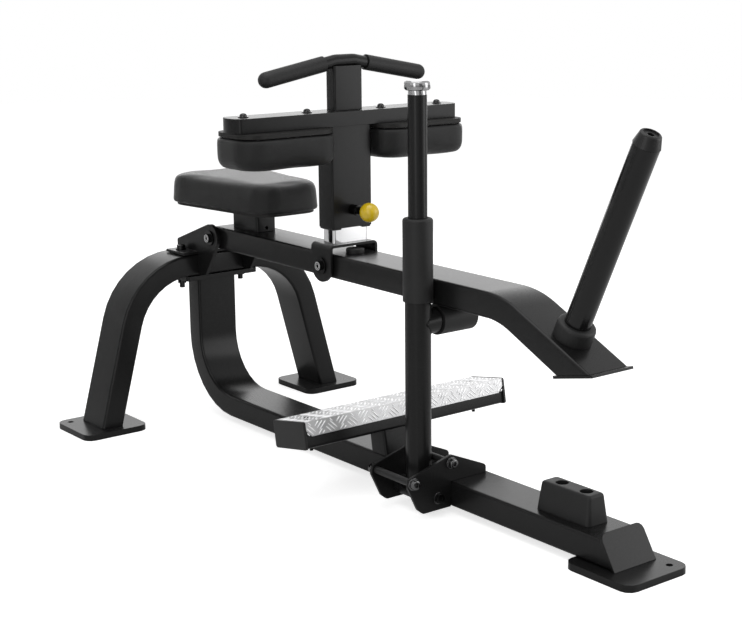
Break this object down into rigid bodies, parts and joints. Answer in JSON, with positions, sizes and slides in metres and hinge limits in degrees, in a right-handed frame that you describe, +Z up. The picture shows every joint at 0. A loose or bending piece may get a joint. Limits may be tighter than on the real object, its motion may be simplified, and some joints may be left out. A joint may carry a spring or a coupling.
{
  "type": "seated calf raise machine",
  "caption": "Seated calf raise machine: arched frame, pivoting lever with seat and weight horn, height-adjustable knee pads, foot bar and swing-out safety catch.",
  "frame": {"origin": "centre of the footprint on the floor", "axes": "+Z up, +Y from the weight horn towards the seat, +X towards the sitter's left"},
  "size_m": [0.7494, 1.501, 0.853],
  "materials": {
    "powder_coat": "satin black powder coat",
    "gloss_black": "gloss black",
    "chrome": "mirror chrome",
    "steel": "bright turned steel",
    "black_steel": "blackened steel",
    "checker_plate": "bright raised bar tread",
    "upholstery": "fine grained black",
    "board": "black board",
    "rubber": "matte black",
    "plastic": "matte black",
    "yellow_knob": "gloss yellow"
  },
  "bodies": {
    "frame": {"rear_foot_plate_left": "powder_coat", "rear_foot_plate_right": "powder_coat", "front_foot_plate": "powder_coat", "main_rail": "powder_coat", "rail_front_cap": "powder_coat", "upright_top_plate": "powder_coat", "rear_arch": "powder_coat", "pivot_bracket": "powder_coat", "bracket_bolt_left": "black_steel", "bracket_bolt_right": "black_steel", "bumper_block": "rubber", "foot_bar_tube": "powder_coat", "foot_bar_tread": "checker_plate", "foot_bar_end_cap_left": "plastic", "foot_bar_end_cap_right": "plastic", "foot_bar_support": "powder_coat", "catch_plate_front": "powder_coat", "catch_plate_rear": "powder_coat", "catch_stop_rod_inner": "black_steel", "catch_stop_rod_outer": "black_steel", "catch_pivot_pin": "black_steel"},
    "lever_pivot": {"lever_axle": "steel", "lever_axle_cap_left": "black_steel", "lever_axle_cap_right": "black_steel"},
    "lever": {"lever_arm": "powder_coat", "lever_hub_bush_left": "plastic", "lever_hub_bush_right": "plastic", "lever_end_plate": "powder_coat", "horn_tube": "gloss_black", "horn_collar": "rubber", "horn_end_cap": "plastic", "seat_post": "powder_coat", "seat_board": "board", "seat_cushion": "upholstery", "saddle_stop_pad": "rubber"},
    "saddle": {"saddle_bracket": "powder_coat", "saddle_axle": "steel", "saddle_axle_cap_left": "black_steel", "saddle_axle_cap_right": "black_steel", "height_post": "chrome"},
    "carriage": {"carriage_sleeve": "powder_coat", "sleeve_bushing": "plastic", "knee_beam": "powder_coat", "knee_board_left": "board", "knee_board_right": "board", "knee_pad_left": "upholstery", "knee_pad_right": "upholstery", "handlebar": "powder_coat", "handle_post": "powder_coat", "grip_left": "rubber", "grip_right": "rubber", "pop_pin_barrel": "black_steel"},
    "pop_pin": {"pop_pin_plunger": "steel", "pop_pin_knob": "yellow_knob"},
    "catch": {"pole_lower_tube": "powder_coat", "pole_upper_tube": "powder_coat", "pole_rubber_sleeve": "rubber", "pole_cap": "chrome", "roller_axle": "powder_coat"},
    "roller": {"roller": "rubber"}
  },
  "joints": [
    {"name": "catch_swing", "type": "hinge", "parent": "frame", "child": "catch", "pos_m": [-0.082, -0.1975, 0.038], "axis": [0, -1, 0], "range_deg": [0, 30]},
    {"name": "lever_cam", "type": "hinge", "parent": "frame", "child": "lever_pivot", "pos_m": [0, 0.5705, 0.4256], "axis": [-1, 0, 0], "range_deg": [0, 5.1]},
    {"name": "lever_lift", "type": "hinge", "parent": "lever_pivot", "child": "lever", "pos_m": [0, 0.5705, 0.4256], "axis": [-1, 0, 0], "range_deg": [0, 12]},
    {"name": "saddle_tilt", "type": "hinge", "parent": "lever", "child": "saddle", "pos_m": [0, 0.1455, 0.4256], "axis": [-1, 0, 0], "range_deg": [-6, 10]},
    {"name": "pad_height", "type": "slide", "parent": "saddle", "child": "carriage", "axis": [0, 0, 1], "range_m": [0, 0.15]},
    {"name": "pop_pin_pull", "type": "slide", "parent": "carriage", "child": "pop_pin", "axis": [0, -1, 0], "range_m": [0, 0.012], "stiffness_N_per_m": 1500, "springref_m": -0.005},
    {"name": "roller_spin", "type": "hinge", "parent": "catch", "child": "roller", "pos_m": [0, -0.1975, 0.3703], "axis": [1, 0, 0], "continuous": true}
  ],
  "couplings": [
    {"joint": "lever_cam", "follows": "catch_swing", "ratio": 0.17}
  ]
}
